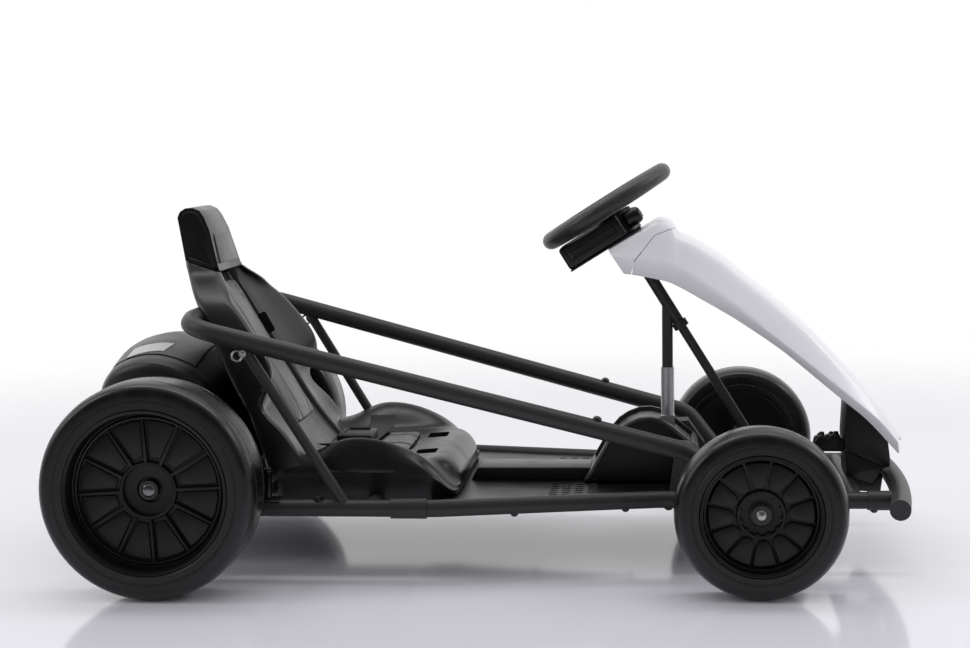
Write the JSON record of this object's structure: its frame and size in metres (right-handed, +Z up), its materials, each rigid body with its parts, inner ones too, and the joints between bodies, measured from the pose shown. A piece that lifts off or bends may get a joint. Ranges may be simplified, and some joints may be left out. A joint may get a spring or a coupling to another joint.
{
  "type": "electric drift kart",
  "caption": "Child's ride-on electric drift kart: tube frame, bucket seat, steered front wheels, driven rear wheels, white nose panel.",
  "frame": {"origin": "on the floor under the middle of the kart's box", "axes": "+X forward, +Y to the driver's left, +Z up"},
  "size_m": [1.0405, 0.654, 0.5007],
  "materials": {
    "frame_paint": "gloss powder coat",
    "tyre": "moulded plastic tyre, satin",
    "rim": "moulded, fine grain",
    "body_black": "moulded, fine grain",
    "body_white": "gloss",
    "seat_plastic": "blow moulded, satin",
    "pad": "woven textile",
    "webbing": "woven webbing",
    "bright_steel": "satin",
    "grip": "soft moulded grip",
    "battery": "moulded case"
  },
  "bodies": {
    "chassis": {"rail_left": "frame_paint", "rail_right": "frame_paint", "rail_sleeves": "frame_paint", "struts": "frame_paint", "upper_tube_left": "frame_paint", "upper_tube_right": "frame_paint", "hoop_back": "frame_paint", "bumper": "frame_paint", "bumper_sockets": "frame_paint", "cross_tubes": "frame_paint", "front_axle_beam": "frame_paint", "rear_axle": "frame_paint", "column_tube": "frame_paint", "column_post": "frame_paint", "bumper_caps": "body_black", "gearboxes": "body_black", "battery": "battery", "floor_pan": "body_black", "front_console": "body_black", "column_pod": "body_white", "nose_panel": "body_white", "front_cowl": "body_black", "control_box": "body_black", "post_sleeve": "bright_steel", "seat_shell": "seat_plastic", "headrest": "seat_plastic", "back_pad": "pad", "cushion_pad": "pad", "lap_belt": "webbing", "belt_buckle": "body_black", "rear_cover": "body_black", "rear_hook": "frame_paint", "pedals": "body_black"},
    "wheel_rear_left": {"tyre_rear_left": "tyre", "rim_rear_left": "rim"},
    "wheel_rear_right": {"tyre_rear_right": "tyre", "rim_rear_right": "rim"},
    "wheel_front_left": {"tyre_front_left": "tyre", "rim_front_left": "rim"},
    "wheel_front_right": {"tyre_front_right": "tyre", "rim_front_right": "rim"},
    "knuckle_left": {"knuckle_left": "frame_paint"},
    "tie_rod_left": {"tie_rod_left": "bright_steel"},
    "knuckle_right": {"knuckle_right": "frame_paint"},
    "tie_rod_right": {"tie_rod_right": "bright_steel"},
    "steering": {"steering_wheel": "grip", "steering_shaft": "frame_paint"}
  },
  "joints": [
    {"name": "steer", "type": "hinge", "parent": "chassis", "child": "steering", "pos_m": [0.134, 0, 0.4455], "axis": [-0.524, 0, 0.8517], "range_deg": [-40, 40]},
    {"name": "kingpin_left", "type": "hinge", "parent": "chassis", "child": "knuckle_left", "pos_m": [0.3175, 0.214, 0.1005], "axis": [0, 0, 1], "range_deg": [-32, 32]},
    {"name": "tie_rod_turn_left", "type": "hinge", "parent": "knuckle_left", "child": "tie_rod_left", "pos_m": [0.3575, 0.214, 0.1], "axis": [0, 0, 1], "range_deg": [-32, 32]},
    {"name": "roll_front_left", "type": "hinge", "parent": "knuckle_left", "child": "wheel_front_left", "pos_m": [0.3175, 0.27, 0.1005], "axis": [0, 1, 0], "continuous": true},
    {"name": "roll_rear_left", "type": "hinge", "parent": "chassis", "child": "wheel_rear_left", "pos_m": [-0.3965, 0.287, 0.13], "axis": [0, 1, 0], "continuous": true},
    {"name": "kingpin_right", "type": "hinge", "parent": "chassis", "child": "knuckle_right", "pos_m": [0.3175, -0.214, 0.1005], "axis": [0, 0, 1], "range_deg": [-32, 32]},
    {"name": "tie_rod_turn_right", "type": "hinge", "parent": "knuckle_right", "child": "tie_rod_right", "pos_m": [0.3575, -0.214, 0.1], "axis": [0, 0, 1], "range_deg": [-32, 32]},
    {"name": "roll_front_right", "type": "hinge", "parent": "knuckle_right", "child": "wheel_front_right", "pos_m": [0.3175, -0.27, 0.1005], "axis": [0, 1, 0], "continuous": true},
    {"name": "roll_rear_right", "type": "hinge", "parent": "chassis", "child": "wheel_rear_right", "pos_m": [-0.3965, -0.287, 0.13], "axis": [0, 1, 0], "continuous": true}
  ],
  "couplings": [
    {"joint": "kingpin_left", "follows": "steer", "ratio": 0.8},
    {"joint": "tie_rod_turn_left", "follows": "steer", "ratio": -0.8},
    {"joint": "kingpin_right", "follows": "steer", "ratio": 0.8},
    {"joint": "tie_rod_turn_right", "follows": "steer", "ratio": -0.8}
  ]
}
